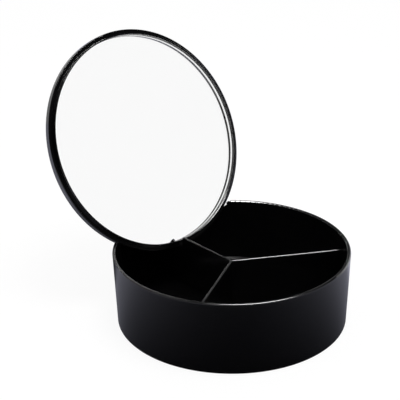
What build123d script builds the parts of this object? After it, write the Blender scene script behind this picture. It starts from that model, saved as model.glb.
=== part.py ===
from build123d import *

import os
from math import cos, radians, sin, tan

# A round vanity box with three compartments and a loose mirror lid. The lid is shown standing up: its
# lower edge sits in a slot in the rear vane of the divider and passes through two notches in the rim.
#
# Frame: millimetres, +Z up. The origin is the centre of the face that the box rests on. The slotted vane
# points along +Y and the mirror faces -Y, tipped up by its lean.

# Tub
RIM_RADIUS = 100.0
FOOT_RADIUS = 98.1
BOX_HEIGHT = 62.5
WALL = 2.9
FLOOR = 2.8
FOOT_WIDTH = 5.0
FOOT_RECESS = 1.5
RIM_ROUND = 0.95
FOOT_BREAK = 0.4
INSIDE_CORNER = 1.5

# Divider
VANE_COUNT = 3
VANE_DROP = 12.8  # from the rim down to the vane tops
VANE_FOOT_THICKNESS = 2.2
VANE_DRAFT = 0.25  # degrees on each side
VANE_TOP_ROUND = 0.7
HUB_CORNER = 1.2
WALL_FIT = 0.2  # gap between a vane's end and the wall

# Lid, measured from its land: the flat flange round the raised ring
LID_RADIUS = 99.5
LID_BACK_DEPTH = 5.6
LID_EDGE_BREAK = 0.5
RING_HEIGHT = 2.9
RING_OUTER_RADIUS = 95.8
RING_INNER_RADIUS = 94.3
RING_TOP_BREAK = 0.3

# Mirror glass and the tape that holds it in the lid
GLASS_RADIUS = 94.1
GLASS_THICKNESS = 2.0
GLASS_DROP = 0.6  # from the land down to the front of the glass
TAPE_THICKNESS = 0.3
TAPE_RADIUS = 88.0

# How the lid stands
LEAN = 25.1  # degrees from upright
SEAT_Y = 70.8  # lowest point of the lid's back edge
SEAT_Z = 38.05
SLOT_FRONT_Y = 63.3
SLOT_GAP = 0.3
SLOT_CORNER = 1.2
NOTCH_FRONT_DEPTH = 3.2  # from the rim down, on the side of the mirror
NOTCH_REAR_DEPTH = 8.8
NOTCH_GAP = 0.4
NOTCH_FRONT_CORNER = 2.0
NOTCH_REAR_CORNER = 1.0

draft_slope = (RIM_RADIUS - FOOT_RADIUS) / BOX_HEIGHT
floor_top = FOOT_RECESS + FLOOR
vane_top = BOX_HEIGHT - VANE_DROP
slot_floor = SEAT_Z - SLOT_GAP

lean_sin = sin(radians(LEAN))
lean_cos = cos(radians(LEAN))
lid_up = Vector(0, lean_sin, lean_cos)
lid_normal = Vector(0, -lean_cos, lean_sin)
lid_centre = Vector(0, SEAT_Y, SEAT_Z) + lid_up * LID_RADIUS + lid_normal * LID_BACK_DEPTH
lid_axis = Axis(lid_centre, lid_normal)
# Half sections of the lid's pieces are drawn here: X is the radius and Y the height above the land.
lid_section = Plane(origin=lid_centre, x_dir=lid_up, z_dir=(1, 0, 0))
glass_back = -GLASS_DROP - GLASS_THICKNESS
pocket_floor = glass_back - TAPE_THICKNESS


def inside_radius(height):
    """Radius of the tub's inner wall at this height."""
    return FOOT_RADIUS - WALL + height * draft_slope


def lid_face_y(height, z):
    """Y of the plane at this height above the lid's land, where it crosses level z."""
    return lid_centre.Y + (z - lid_centre.Z) * tan(radians(LEAN)) - height / lean_cos


def round_corner(sketch, corner, radius):
    """Round the corner of a sketch that lies nearest to this point."""
    fillet(sketch.vertices().sort_by_distance(corner)[0], radius)


def break_corner(sketch, corner, length):
    """Cut off the corner of a sketch that lies nearest to this point."""
    chamfer(sketch.vertices().sort_by_distance(corner)[0], length)


# Tub: one moulding with drafted walls, a rounded rim, a foot ring under a raised floor, and two notches
with BuildPart() as tub:
    with BuildSketch(Plane.XZ) as tub_section:
        with BuildLine():
            Polyline(
                (FOOT_RADIUS, 0),
                (RIM_RADIUS, BOX_HEIGHT),
                (RIM_RADIUS - WALL, BOX_HEIGHT),
                (inside_radius(floor_top), floor_top),
                (0, floor_top),
                (0, FOOT_RECESS),
                (FOOT_RADIUS - FOOT_WIDTH, FOOT_RECESS),
                (FOOT_RADIUS - FOOT_WIDTH, 0),
                close=True,
            )
        make_face()
        round_corner(tub_section, (RIM_RADIUS, BOX_HEIGHT), RIM_ROUND)
        round_corner(tub_section, (RIM_RADIUS - WALL, BOX_HEIGHT), RIM_ROUND)
        break_corner(tub_section, (inside_radius(floor_top), floor_top), INSIDE_CORNER)
        break_corner(tub_section, (FOOT_RADIUS, 0), FOOT_BREAK)
    revolve(axis=Axis.Z)

    # One raked channel across the rim cuts both notches, where the edge of the lid goes through the wall.
    # Its floor falls towards the back, as the edge of the lid does along the inside of the wall.
    front_foot_z = BOX_HEIGHT - NOTCH_FRONT_DEPTH
    rear_foot_z = BOX_HEIGHT - NOTCH_REAR_DEPTH
    front_top = (lid_face_y(NOTCH_GAP, BOX_HEIGHT), BOX_HEIGHT)
    rear_top = (lid_face_y(-LID_BACK_DEPTH - NOTCH_GAP, BOX_HEIGHT), BOX_HEIGHT)
    mouth_height = BOX_HEIGHT + NOTCH_REAR_DEPTH
    with BuildSketch(Plane.YZ) as channel:
        with BuildLine():
            Polyline(
                (lid_face_y(NOTCH_GAP, front_foot_z), front_foot_z),
                front_top,
                (front_top[0] - NOTCH_REAR_DEPTH, BOX_HEIGHT),
                (front_top[0] - NOTCH_REAR_DEPTH, mouth_height),
                (rear_top[0] + NOTCH_REAR_DEPTH, mouth_height),
                (rear_top[0] + NOTCH_REAR_DEPTH, BOX_HEIGHT),
                rear_top,
                (lid_face_y(-LID_BACK_DEPTH - NOTCH_GAP, rear_foot_z), rear_foot_z),
                close=True,
            )
        make_face()
        round_corner(channel, front_top, NOTCH_FRONT_CORNER)
        round_corner(channel, rear_top, NOTCH_REAR_CORNER)
    extrude(amount=RIM_RADIUS, both=True, mode=Mode.SUBTRACT)

# Divider: three tapered vanes in one moulding, trimmed to the inside of the tub and slotted for the lid
with BuildPart() as divider:
    with BuildSketch(Plane.XY.offset(floor_top)) as vane_plan:
        with PolarLocations(0, VANE_COUNT, start_angle=90):
            Rectangle(RIM_RADIUS, VANE_FOOT_THICKNESS, align=(Align.MIN, Align.CENTER))
        fillet(vane_plan.vertices().group_by(SortBy.DISTANCE)[0], HUB_CORNER)
    extrude(amount=vane_top - floor_top, taper=VANE_DRAFT)
    long_top_edges = divider.edges().group_by(Axis.Z)[-1]
    fillet(long_top_edges, VANE_TOP_ROUND)

    end_foot = (inside_radius(floor_top) - WALL_FIT, floor_top)
    with BuildSketch(Plane.XZ) as trim_section:
        with BuildLine():
            Polyline(
                (0, floor_top),
                end_foot,
                (inside_radius(vane_top) - WALL_FIT, vane_top),
                (0, vane_top),
                close=True,
            )
        make_face()
        break_corner(trim_section, end_foot, INSIDE_CORNER + WALL_FIT)
    revolve(axis=Axis.Z, mode=Mode.INTERSECT)

    # The slot has an upright front side and a rear side that is raked like the lid's back.
    slot_rear_foot = SEAT_Y + SLOT_GAP / lean_cos
    slot_rear_top = slot_rear_foot + (vane_top - slot_floor) * tan(radians(LEAN))
    with BuildSketch(Plane.YZ):
        with BuildLine():
            front_side = Line((SLOT_FRONT_Y, slot_floor), (SLOT_FRONT_Y, vane_top - SLOT_CORNER))
            TangentArc(front_side @ 1, (SLOT_FRONT_Y - SLOT_CORNER, vane_top), tangent=front_side % 1)
            Polyline(
                (SLOT_FRONT_Y - SLOT_CORNER, vane_top),
                (slot_rear_top, vane_top),
                (slot_rear_foot, slot_floor),
                (SLOT_FRONT_Y, slot_floor),
            )
        make_face()
    extrude(amount=VANE_FOOT_THICKNESS, both=True, mode=Mode.SUBTRACT)

# Lid: a flat back, a land that drops inside the rim, and a thin raised ring round the glass
with BuildPart() as lid_shell:
    with BuildSketch(lid_section) as shell_section:
        with BuildLine():
            Polyline(
                (0, -LID_BACK_DEPTH),
                (LID_RADIUS, -LID_BACK_DEPTH),
                (LID_RADIUS, 0),
                (RING_OUTER_RADIUS, 0),
                (RING_OUTER_RADIUS, RING_HEIGHT),
                (RING_INNER_RADIUS, RING_HEIGHT),
                (RING_INNER_RADIUS, pocket_floor),
                (0, pocket_floor),
                close=True,
            )
        make_face()
        break_corner(shell_section, (LID_RADIUS, -LID_BACK_DEPTH), LID_EDGE_BREAK)
        break_corner(shell_section, (LID_RADIUS, 0), LID_EDGE_BREAK)
        break_corner(shell_section, (RING_OUTER_RADIUS, RING_HEIGHT), RING_TOP_BREAK)
        break_corner(shell_section, (RING_INNER_RADIUS, RING_HEIGHT), RING_TOP_BREAK)
    revolve(axis=lid_axis)

# Mirror glass: a plain round sheet, silvered on its back
with BuildPart() as mirror_glass:
    with BuildSketch(Plane(lid_centre + lid_normal * glass_back, x_dir=(1, 0, 0), z_dir=lid_normal)):
        Circle(GLASS_RADIUS)
    extrude(amount=GLASS_THICKNESS)

# Mirror tape: the double-sided disc between the glass and the lid
with BuildPart() as mirror_tape:
    with BuildSketch(Plane(lid_centre + lid_normal * pocket_floor, x_dir=(1, 0, 0), z_dir=lid_normal)):
        Circle(TAPE_RADIUS)
    extrude(amount=TAPE_THICKNESS)

tub.part.label = "tub"
divider.part.label = "divider"
lid_shell.part.label = "lid_shell"
mirror_glass.part.label = "mirror_glass"
mirror_tape.part.label = "mirror_tape"

os.makedirs("parts", exist_ok=True)
export_step(tub.part, "parts/tub.step")
export_step(divider.part, "parts/divider.step")
export_step(lid_shell.part, "parts/lid_shell.step")
export_step(mirror_glass.part, "parts/mirror_glass.step")
export_step(mirror_tape.part, "parts/mirror_tape.step")
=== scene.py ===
from math import cos, pi, radians, sin

import bpy
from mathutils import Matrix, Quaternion, Vector


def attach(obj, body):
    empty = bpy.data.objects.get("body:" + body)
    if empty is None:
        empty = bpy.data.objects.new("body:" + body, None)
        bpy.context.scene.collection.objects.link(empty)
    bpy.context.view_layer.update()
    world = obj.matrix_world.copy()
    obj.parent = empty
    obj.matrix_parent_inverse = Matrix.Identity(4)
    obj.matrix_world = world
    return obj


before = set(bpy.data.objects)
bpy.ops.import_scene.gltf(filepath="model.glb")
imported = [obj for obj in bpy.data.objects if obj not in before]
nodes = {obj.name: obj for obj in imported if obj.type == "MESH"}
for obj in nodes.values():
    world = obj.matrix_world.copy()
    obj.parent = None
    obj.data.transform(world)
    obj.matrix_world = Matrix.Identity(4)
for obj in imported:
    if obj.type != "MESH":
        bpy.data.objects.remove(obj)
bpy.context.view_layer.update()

# A round black vanity box with its mirror lid standing in the slot of the divider. Everything is in metres,
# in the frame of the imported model: +Z up, the mirror faces -Y and leans back.

MM = 0.001

# The lid's own axes
LEAN = radians(25.1)
LID_RADIUS = 99.5 * MM
LID_BACK_DEPTH = 5.6 * MM
LID_SEAT = Vector((0, 70.8, 38.05)) * MM
lid_up = Vector((0, sin(LEAN), cos(LEAN)))
lid_normal = Vector((0, -cos(LEAN), sin(LEAN)))
lid_centre = LID_SEAT + lid_up * LID_RADIUS + lid_normal * LID_BACK_DEPTH

# Silver coat, just inside the back of the glass
GLASS_RADIUS = 94.1 * MM
GLASS_BACK = -2.6 * MM
SILVER_MARGIN = 0.05 * MM
SILVER_INSET = 0.03 * MM
SILVER_SEGMENTS = 192

# How far the finish rounds the edges of each moulding
TUB_EDGE = 0.3 * MM
VANE_EDGE = 0.6 * MM
LID_EDGE = 0.15 * MM

# Black polystyrene, a little paler where its fine grain stands up, and the tape's foam
BLACK = (0.0018, 0.0018, 0.0022, 1)
GRAIN_BLACK = (0.0026, 0.0026, 0.0030, 1)
RIPPLES_PER_METRE = 160.0
GRAINS_PER_METRE = 1400.0
SKIN_DEPTH = 0.02 * MM
BOX_ROUGHNESS = (0.13, 0.19)
BOX_RIPPLE = 0.10
LID_ROUGHNESS = (0.12, 0.16)
LID_RIPPLE = 0.04
FOAM_CELLS_PER_METRE = 2500.0
FOAM_DEPTH = 0.05 * MM

# Camera
AIM = Vector((-0.00922, 0.02871, 0.09904))
CAMERA_DISTANCE = 0.87352
CAMERA_AZIMUTH = radians(-40.690)
CAMERA_ELEVATION = radians(23.332)
CAMERA_ROLL = radians(-0.9225)
CAMERA_SIDE = Vector((sin(CAMERA_AZIMUTH), -cos(CAMERA_AZIMUTH), 0))
CAMERA_RIGHT = Vector((cos(CAMERA_AZIMUTH), sin(CAMERA_AZIMUTH), 0))
LENS = 93.41
SENSOR = 36.0

# Softboxes overhead: the first lights the scene, the second shows as a highlight on the plastic
SOFTBOX_PLACE = (0.05, -0.25, 1.3)
SOFTBOX_WIDTH = 0.5
SOFTBOX_RADIANCE = 6.0
SHEEN_PLACE = (0.18, -0.17, 1.3)
SHEEN_WIDTH = 0.8
SHEEN_RADIANCE = 50.0
SOFTBOX_TARGET = Vector((0, 0, 0.05))
DEPTH_BEFORE_MIRROR = 2.5

# Surroundings: an even fill, and for gloss a band of white round the horizon, which fades to dark between
# these two sines of elevation
FILL_LEVEL = 0.55
BAND_TOP, DARK_FROM = 0.12, 0.24
DARK_SHARE = 0.98

# Floor: what is seen of it is mostly glow, so that it shows white, and partly paper, which takes the shadow.
# In gloss it glows with painted light and shade instead: a bluish tint, painted shade near the box, and
# brightening away from the box on the scale of this reach.
FLOOR_WIDTH = 12.0
FLOOR_GLOW = 0.9
GLOSS_TINT = (0.96, 0.97, 1.16, 1)
PAINTED_SHADE_REACH = 0.13


# Node tree helpers


def put(tree, kind, **sockets):
    """A node of this kind, with these input values."""
    node = tree.nodes.new(kind)
    for name, value in sockets.items():
        node.inputs[name.replace("_", " ")].default_value = value
    return node


def math_node(tree, operation, a, b=None):
    """A Math node on sockets or numbers, and its output."""
    node = tree.nodes.new("ShaderNodeMath")
    node.operation = operation
    for at, value in enumerate((a, b)):
        if isinstance(value, bpy.types.NodeSocket):
            tree.links.new(value, node.inputs[at])
        elif value is not None:
            node.inputs[at].default_value = value
    return node.outputs[0]


def remap(tree, value, low, high, to_low=0.0, to_high=1.0, smooth=False):
    """value from low..high onto to_low..to_high, clamped."""
    node = tree.nodes.new("ShaderNodeMapRange")
    node.interpolation_type = "SMOOTHSTEP" if smooth else "LINEAR"
    tree.links.new(value, node.inputs["Value"])
    node.inputs["From Min"].default_value = low
    node.inputs["From Max"].default_value = high
    node.inputs["To Min"].default_value = to_low
    node.inputs["To Max"].default_value = to_high
    return node.outputs["Result"]


def new_material(name):
    """An empty node material and its output node."""
    material = bpy.data.materials.new(name)
    material.use_nodes = True
    material.node_tree.nodes.clear()
    return material, material.node_tree.nodes.new("ShaderNodeOutputMaterial")


def straight_ray(tree, path):
    """1 on camera and transmission rays."""
    return math_node(tree, "MAXIMUM", path.outputs["Is Camera Ray"], path.outputs["Is Transmission Ray"])


def seen_directly(tree):
    """1 on camera, glossy and transmission rays, which show the background, and 0 on rays that only light."""
    path = tree.nodes.new("ShaderNodeLightPath")
    return math_node(tree, "MAXIMUM", straight_ray(tree, path), path.outputs["Is Glossy Ray"])


# Finishes


def moulded_finish_group():
    """The skin of a polished moulding: soft ripple from the mould, fine grain, and gloss that drifts."""
    group = bpy.data.node_groups.new("moulded finish", "ShaderNodeTree")
    socket = group.interface.new_socket
    socket("Vector", in_out="INPUT", socket_type="NodeSocketVector")
    for name in ("Ripples per metre", "Grains per metre", "Low roughness", "High roughness"):
        socket(name, in_out="INPUT", socket_type="NodeSocketFloat")
    socket("Colour", in_out="INPUT", socket_type="NodeSocketColor")
    socket("Grain colour", in_out="INPUT", socket_type="NodeSocketColor")
    socket("Colour", in_out="OUTPUT", socket_type="NodeSocketColor")
    socket("Roughness", in_out="OUTPUT", socket_type="NodeSocketFloat")
    socket("Height", in_out="OUTPUT", socket_type="NodeSocketFloat")
    given = group.nodes.new("NodeGroupInput")
    result = group.nodes.new("NodeGroupOutput")

    ripple = put(group, "ShaderNodeTexNoise", Detail=1.5, Roughness=0.45)
    grain = put(group, "ShaderNodeTexNoise", Detail=3.0, Roughness=0.6)
    drift = put(group, "ShaderNodeTexNoise", Scale=21.0, Detail=4.0, Roughness=0.55, Distortion=0.6)
    for texture in (ripple, grain, drift):
        group.links.new(given.outputs["Vector"], texture.inputs["Vector"])
    group.links.new(given.outputs["Ripples per metre"], ripple.inputs["Scale"])
    group.links.new(given.outputs["Grains per metre"], grain.inputs["Scale"])

    gloss = group.nodes.new("ShaderNodeMapRange")
    group.links.new(drift.outputs[0], gloss.inputs["Value"])
    gloss.inputs["From Min"].default_value = 0.3
    gloss.inputs["From Max"].default_value = 0.7
    group.links.new(given.outputs["Low roughness"], gloss.inputs["To Min"])
    group.links.new(given.outputs["High roughness"], gloss.inputs["To Max"])
    group.links.new(gloss.outputs["Result"], result.inputs["Roughness"])

    tint = group.nodes.new("ShaderNodeMix")
    tint.data_type = "RGBA"
    group.links.new(remap(group, grain.outputs[0], 0.55, 0.75), tint.inputs["Factor"])
    group.links.new(given.outputs["Colour"], tint.inputs["A"])
    group.links.new(given.outputs["Grain colour"], tint.inputs["B"])
    group.links.new(tint.outputs["Result"], result.inputs["Colour"])

    fine = math_node(group, "MULTIPLY", grain.outputs[0], 0.18)
    group.links.new(math_node(group, "ADD", ripple.outputs[0], fine), result.inputs["Height"])
    return group


def black_plastic(name, finish, roughness, ripple, edge_round):
    """Black polystyrene, as glossy as its mould was polished."""
    material, output = new_material(name)
    tree = material.node_tree
    place = tree.nodes.new("ShaderNodeTexCoord")
    skin = tree.nodes.new("ShaderNodeGroup")
    skin.node_tree = finish
    tree.links.new(place.outputs["Object"], skin.inputs["Vector"])
    skin.inputs["Ripples per metre"].default_value = RIPPLES_PER_METRE
    skin.inputs["Grains per metre"].default_value = GRAINS_PER_METRE
    skin.inputs["Low roughness"].default_value, skin.inputs["High roughness"].default_value = roughness
    skin.inputs["Colour"].default_value = BLACK
    skin.inputs["Grain colour"].default_value = GRAIN_BLACK
    edges = put(tree, "ShaderNodeBevel", Radius=edge_round)
    bump = put(tree, "ShaderNodeBump", Strength=ripple, Distance=SKIN_DEPTH)
    tree.links.new(skin.outputs["Height"], bump.inputs["Height"])
    tree.links.new(edges.outputs["Normal"], bump.inputs["Normal"])
    shader = put(tree, "ShaderNodeBsdfPrincipled", IOR=1.5)
    tree.links.new(skin.outputs["Colour"], shader.inputs["Base Color"])
    tree.links.new(skin.outputs["Roughness"], shader.inputs["Roughness"])
    tree.links.new(bump.outputs["Normal"], shader.inputs["Normal"])
    tree.links.new(shader.outputs["BSDF"], output.inputs["Surface"])
    return material


def clear_glass():
    """The mirror's float glass, with the faintest wipe marks."""
    material, output = new_material("float glass")
    tree = material.node_tree
    place = tree.nodes.new("ShaderNodeTexCoord")
    wipes = put(tree, "ShaderNodeTexNoise", Scale=30.0, Detail=5.0, Distortion=1.2)
    tree.links.new(place.outputs["Object"], wipes.inputs["Vector"])
    shader = put(tree, "ShaderNodeBsdfPrincipled", IOR=1.5, Transmission_Weight=1.0)
    shader.inputs["Base Color"].default_value = (0.997, 0.998, 0.998, 1)
    tree.links.new(remap(tree, wipes.outputs[0], 0.5, 0.8, 0.0, 0.012), shader.inputs["Roughness"])
    tree.links.new(shader.outputs["BSDF"], output.inputs["Surface"])
    return material


def silver_coat():
    """The silver behind the glass."""
    material, output = new_material("silver coat")
    tree = material.node_tree
    place = tree.nodes.new("ShaderNodeTexCoord")
    clouds = put(tree, "ShaderNodeTexNoise", Scale=14.0, Detail=3.0)
    tree.links.new(place.outputs["Object"], clouds.inputs["Vector"])
    tint = tree.nodes.new("ShaderNodeMix")
    tint.data_type = "RGBA"
    tree.links.new(clouds.outputs[0], tint.inputs["Factor"])
    tint.inputs["A"].default_value = (0.990, 0.990, 0.990, 1)
    tint.inputs["B"].default_value = (0.998, 0.998, 0.998, 1)
    shader = put(tree, "ShaderNodeBsdfPrincipled", Metallic=1.0, Roughness=0.0)
    tree.links.new(tint.outputs["Result"], shader.inputs["Base Color"])
    tree.links.new(shader.outputs["BSDF"], output.inputs["Surface"])
    return material


def foam_tape():
    """White foam tape, with the cells of the foam."""
    material, output = new_material("foam tape")
    tree = material.node_tree
    place = tree.nodes.new("ShaderNodeTexCoord")
    cells = put(tree, "ShaderNodeTexVoronoi", Scale=FOAM_CELLS_PER_METRE)
    tree.links.new(place.outputs["Object"], cells.inputs["Vector"])
    tint = tree.nodes.new("ShaderNodeMix")
    tint.data_type = "RGBA"
    tree.links.new(cells.outputs["Distance"], tint.inputs["Factor"])
    tint.inputs["A"].default_value = (0.62, 0.62, 0.59, 1)
    tint.inputs["B"].default_value = (0.78, 0.78, 0.75, 1)
    bump = put(tree, "ShaderNodeBump", Strength=0.4, Distance=FOAM_DEPTH)
    tree.links.new(cells.outputs["Distance"], bump.inputs["Height"])
    shader = put(tree, "ShaderNodeBsdfPrincipled", Roughness=0.8)
    tree.links.new(tint.outputs["Result"], shader.inputs["Base Color"])
    tree.links.new(bump.outputs["Normal"], shader.inputs["Normal"])
    tree.links.new(shader.outputs["BSDF"], output.inputs["Surface"])
    return material


def wear(piece, material):
    """Give a piece this one material."""
    piece.data.materials.clear()
    piece.data.materials.append(material)


finish = moulded_finish_group()
wear(nodes["tub"], black_plastic("tub plastic", finish, BOX_ROUGHNESS, BOX_RIPPLE, TUB_EDGE))
wear(nodes["divider"], black_plastic("divider plastic", finish, BOX_ROUGHNESS, BOX_RIPPLE, VANE_EDGE))
wear(nodes["lid_shell"], black_plastic("lid plastic", finish, LID_ROUGHNESS, LID_RIPPLE, LID_EDGE))
wear(nodes["mirror_glass"], clear_glass())
wear(nodes["mirror_tape"], foam_tape())


# Silver coat


def silver_disc(material):
    """A disc that Geometry Nodes fill from a circle, set in the plane of the mirror."""
    tree = bpy.data.node_groups.new("silver disc", "GeometryNodeTree")
    socket = tree.interface.new_socket
    socket("Geometry", in_out="OUTPUT", socket_type="NodeSocketGeometry")
    radius_in = socket("Radius", in_out="INPUT", socket_type="NodeSocketFloat").identifier
    segments_in = socket("Segments", in_out="INPUT", socket_type="NodeSocketInt").identifier
    given = tree.nodes.new("NodeGroupInput")
    result = tree.nodes.new("NodeGroupOutput")
    circle = tree.nodes.new("GeometryNodeMeshCircle")
    circle.fill_type = "TRIANGLE_FAN"
    place = tree.nodes.new("GeometryNodeTransform")
    place.inputs["Translation"].default_value = lid_centre + lid_normal * (GLASS_BACK + SILVER_INSET)
    place.inputs["Rotation"].default_value = lid_normal.to_track_quat("Z", "Y").to_euler()
    dress = tree.nodes.new("GeometryNodeSetMaterial")
    dress.inputs["Material"].default_value = material
    realize = tree.nodes.new("GeometryNodeRealizeInstances")
    tree.links.new(given.outputs["Radius"], circle.inputs["Radius"])
    tree.links.new(given.outputs["Segments"], circle.inputs["Vertices"])
    tree.links.new(circle.outputs["Mesh"], place.inputs["Geometry"])
    tree.links.new(place.outputs["Geometry"], realize.inputs["Geometry"])
    tree.links.new(realize.outputs["Geometry"], dress.inputs["Geometry"])
    tree.links.new(dress.outputs["Geometry"], result.inputs["Geometry"])

    piece = bpy.data.objects.new("mirror_silver", bpy.data.meshes.new("mirror_silver"))
    bpy.context.scene.collection.objects.link(piece)
    modifier = piece.modifiers.new("disc", "NODES")
    modifier.node_group = tree
    modifier[radius_in] = GLASS_RADIUS - SILVER_MARGIN
    modifier[segments_in] = SILVER_SEGMENTS
    made = piece.evaluated_get(bpy.context.evaluated_depsgraph_get())
    piece.data = bpy.data.meshes.new_from_object(made)
    piece.modifiers.clear()
    return piece


silver = silver_disc(silver_coat())
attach(silver, "lid")


# Floor, light and camera


def painted_floor_gloss(tree):
    """Painted light and shade on the floor as the plastic sees it, as a glow strength: dim on the camera's
    side, brighter round the sides and farther off, then painted shade behind on the left and painted light
    behind on the right."""
    place = tree.nodes.new("ShaderNodeNewGeometry")
    flat = put(tree, "ShaderNodeVectorMath")
    flat.operation = "MULTIPLY"
    flat.inputs[1].default_value = (1, 1, 0)
    tree.links.new(place.outputs["Position"], flat.inputs[0])
    reach = put(tree, "ShaderNodeVectorMath")
    reach.operation = "LENGTH"
    tree.links.new(flat.outputs["Vector"], reach.inputs[0])
    bearing = put(tree, "ShaderNodeVectorMath")
    bearing.operation = "NORMALIZE"
    tree.links.new(flat.outputs["Vector"], bearing.inputs[0])
    towards, aside = (put(tree, "ShaderNodeVectorMath") for _ in range(2))
    for node, direction in ((towards, CAMERA_SIDE), (aside, CAMERA_RIGHT)):
        node.operation = "DOT_PRODUCT"
        node.inputs[1].default_value = direction
        tree.links.new(bearing.outputs["Vector"], node.inputs[0])
    round_sides = remap(tree, towards.outputs["Value"], 1.0, 0.0, 0.024, 0.185)
    far = math_node(tree, "POWER", math_node(tree, "DIVIDE", reach.outputs["Value"], PAINTED_SHADE_REACH), 2.2)
    level = math_node(tree, "MULTIPLY", round_sides, math_node(tree, "ADD", far, 0.35))
    behind = remap(tree, towards.outputs["Value"], -0.30, -0.50, smooth=True)
    turn = remap(tree, aside.outputs["Value"], -0.2, 0.2, -0.9, 0.9)
    change = math_node(tree, "ADD", 1.0, math_node(tree, "MULTIPLY", behind, turn))
    return math_node(tree, "MINIMUM", math_node(tree, "MULTIPLY", level, change), 1.0)


def pale_floor():
    """A plain white floor that shows as white and still takes the object's shadow. In gloss it shows painted
    light and shade instead.
    """
    bpy.ops.mesh.primitive_plane_add(size=FLOOR_WIDTH)
    floor = bpy.context.object
    floor.name = "floor"
    material, output = new_material("white floor")
    tree = material.node_tree
    path = tree.nodes.new("ShaderNodeLightPath")
    paper = put(tree, "ShaderNodeBsdfDiffuse", Color=(0.8, 0.8, 0.8, 1))
    shaded = put(tree, "ShaderNodeBsdfDiffuse", Color=(0.16, 0.16, 0.16, 1))
    glow = put(tree, "ShaderNodeEmission", Strength=FLOOR_GLOW)
    shown = tree.nodes.new("ShaderNodeAddShader")
    tree.links.new(shaded.outputs[0], shown.inputs[0])
    tree.links.new(glow.outputs[0], shown.inputs[1])
    # Painted light and shade: the floor's glow in gloss is made brighter or darker by position, in place of
    # real light and shadow on the floor.
    sheen = put(tree, "ShaderNodeEmission", Color=GLOSS_TINT)
    tree.links.new(painted_floor_gloss(tree), sheen.inputs["Strength"])
    for_gloss = tree.nodes.new("ShaderNodeMixShader")
    tree.links.new(path.outputs["Is Glossy Ray"], for_gloss.inputs["Fac"])
    tree.links.new(paper.outputs[0], for_gloss.inputs[1])
    tree.links.new(sheen.outputs[0], for_gloss.inputs[2])
    mix = tree.nodes.new("ShaderNodeMixShader")
    tree.links.new(straight_ray(tree, path), mix.inputs["Fac"])
    tree.links.new(for_gloss.outputs[0], mix.inputs[1])
    tree.links.new(shown.outputs[0], mix.inputs[2])
    tree.links.new(mix.outputs[0], output.inputs["Surface"])
    wear(floor, material)


def sky_patch(tree, direction, bearing, elevation, reach, level):
    """A soft round patch of light. Its centre has this bearing from the camera's side, with its right as
    positive, and this elevation, and it fades out over its reach. All three are in degrees."""
    level_way = CAMERA_SIDE * cos(radians(bearing)) + CAMERA_RIGHT * sin(radians(bearing))
    centre = level_way * cos(radians(elevation)) + Vector((0, 0, sin(radians(elevation))))
    nearness = put(tree, "ShaderNodeVectorMath")
    nearness.operation = "DOT_PRODUCT"
    nearness.inputs[1].default_value = centre
    tree.links.new(direction, nearness.inputs[0])
    return remap(tree, nearness.outputs["Value"], cos(radians(reach)), 1.0, 0.0, level, smooth=True)


def studio_world():
    """White where it is seen straight or in the mirror, an even fill where it lights, and for gloss on the
    plastic white round the horizon, dark above, with two soft patches of light."""
    world = bpy.data.worlds.new("studio")
    bpy.context.scene.world = world
    world.use_nodes = True
    tree = world.node_tree
    tree.nodes.clear()
    output = tree.nodes.new("ShaderNodeOutputWorld")
    place = tree.nodes.new("ShaderNodeTexCoord")
    split = tree.nodes.new("ShaderNodeSeparateXYZ")
    tree.links.new(place.outputs["Generated"], split.inputs[0])
    high = remap(tree, split.outputs["Z"], BAND_TOP, DARK_FROM, smooth=True)
    dark = math_node(tree, "MULTIPLY", high, DARK_SHARE)
    path = tree.nodes.new("ShaderNodeLightPath")
    in_gloss = math_node(tree, "MULTIPLY", dark, path.outputs["Is Glossy Ray"])
    hidden = math_node(tree, "MULTIPLY", in_gloss, math_node(tree, "SUBTRACT", 1.0, straight_ray(tree, path)))
    direction = place.outputs["Generated"]
    right_glow = sky_patch(tree, direction, bearing=140, elevation=8, reach=24, level=1.4)
    left_glow = sky_patch(tree, direction, bearing=-80, elevation=45, reach=28, level=0.6)
    patches = math_node(tree, "ADD", right_glow, left_glow)
    glow = math_node(tree, "MULTIPLY", patches, path.outputs["Is Glossy Ray"])
    backdrop = put(tree, "ShaderNodeBackground", Color=(1, 1, 1, 1))
    shown = math_node(tree, "ADD", math_node(tree, "SUBTRACT", 1.0, hidden), glow)
    tree.links.new(shown, backdrop.inputs["Strength"])
    fill = put(tree, "ShaderNodeBackground", Color=(1, 1, 1, 1), Strength=FILL_LEVEL)
    mix = tree.nodes.new("ShaderNodeMixShader")
    tree.links.new(seen_directly(tree), mix.inputs["Fac"])
    tree.links.new(fill.outputs[0], mix.inputs[1])
    tree.links.new(backdrop.outputs[0], mix.inputs[2])
    tree.links.new(mix.outputs[0], output.inputs["Surface"])


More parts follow.
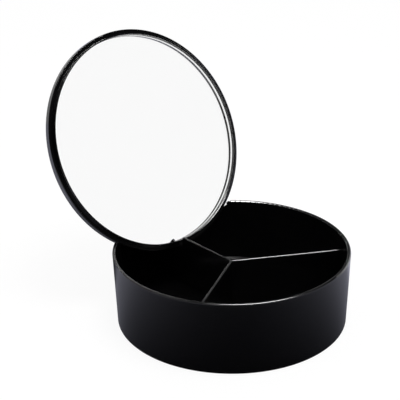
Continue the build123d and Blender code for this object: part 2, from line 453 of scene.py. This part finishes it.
def softbox(name, place, width, radiance):
    """A round softbox that faces the box. Its power follows from how bright its face looks."""
    lamp = bpy.data.lights.new(name, "AREA")
    lamp.shape = "DISK"
    lamp.size = width
    lamp.energy = radiance * pi * pi / 4 * width * width
    box = bpy.data.objects.new(name, lamp)
    bpy.context.scene.collection.objects.link(box)
    box.location = place
    box.rotation_mode = "QUATERNION"
    box.rotation_quaternion = (SOFTBOX_TARGET - box.location).to_track_quat("-Z", "Y")
    return box


def show_in_plastic_only(box):
    """Let a lamp show in plastic that is seen straight, and light nothing else. What the mirror shows of the
    plastic stays without it, because a ray by way of the glass and the silver is deeper than this."""
    box.visible_diffuse = False
    lamp = box.data
    lamp.use_nodes = True
    tree = lamp.node_tree
    path = tree.nodes.new("ShaderNodeLightPath")
    straight = math_node(tree, "LESS_THAN", path.outputs["Ray Depth"], DEPTH_BEFORE_MIRROR)
    tree.links.new(straight, tree.nodes["Emission"].inputs["Strength"])


def set_camera():
    """A long lens at the photograph's angle."""
    lens = bpy.data.cameras.new("camera")
    lens.lens, lens.sensor_width = LENS, SENSOR
    lens.clip_start, lens.clip_end = 0.05, 50
    camera = bpy.data.objects.new("camera", lens)
    bpy.context.scene.collection.objects.link(camera)
    back = Vector(
        (
            sin(CAMERA_AZIMUTH) * cos(CAMERA_ELEVATION),
            -cos(CAMERA_AZIMUTH) * cos(CAMERA_ELEVATION),
            sin(CAMERA_ELEVATION),
        )
    )
    camera.location = AIM + back * CAMERA_DISTANCE
    camera.rotation_mode = "QUATERNION"
    level = (-back).to_track_quat("-Z", "Y")
    camera.rotation_quaternion = level @ Quaternion((0, 0, 1), CAMERA_ROLL)
    bpy.context.scene.camera = camera


pale_floor()
studio_world()
softbox("overhead softbox", SOFTBOX_PLACE, SOFTBOX_WIDTH, SOFTBOX_RADIANCE).visible_glossy = False
show_in_plastic_only(softbox("overhead sheen", SHEEN_PLACE, SHEEN_WIDTH, SHEEN_RADIANCE))
set_camera()
bpy.context.scene.view_settings.view_transform = "Standard"
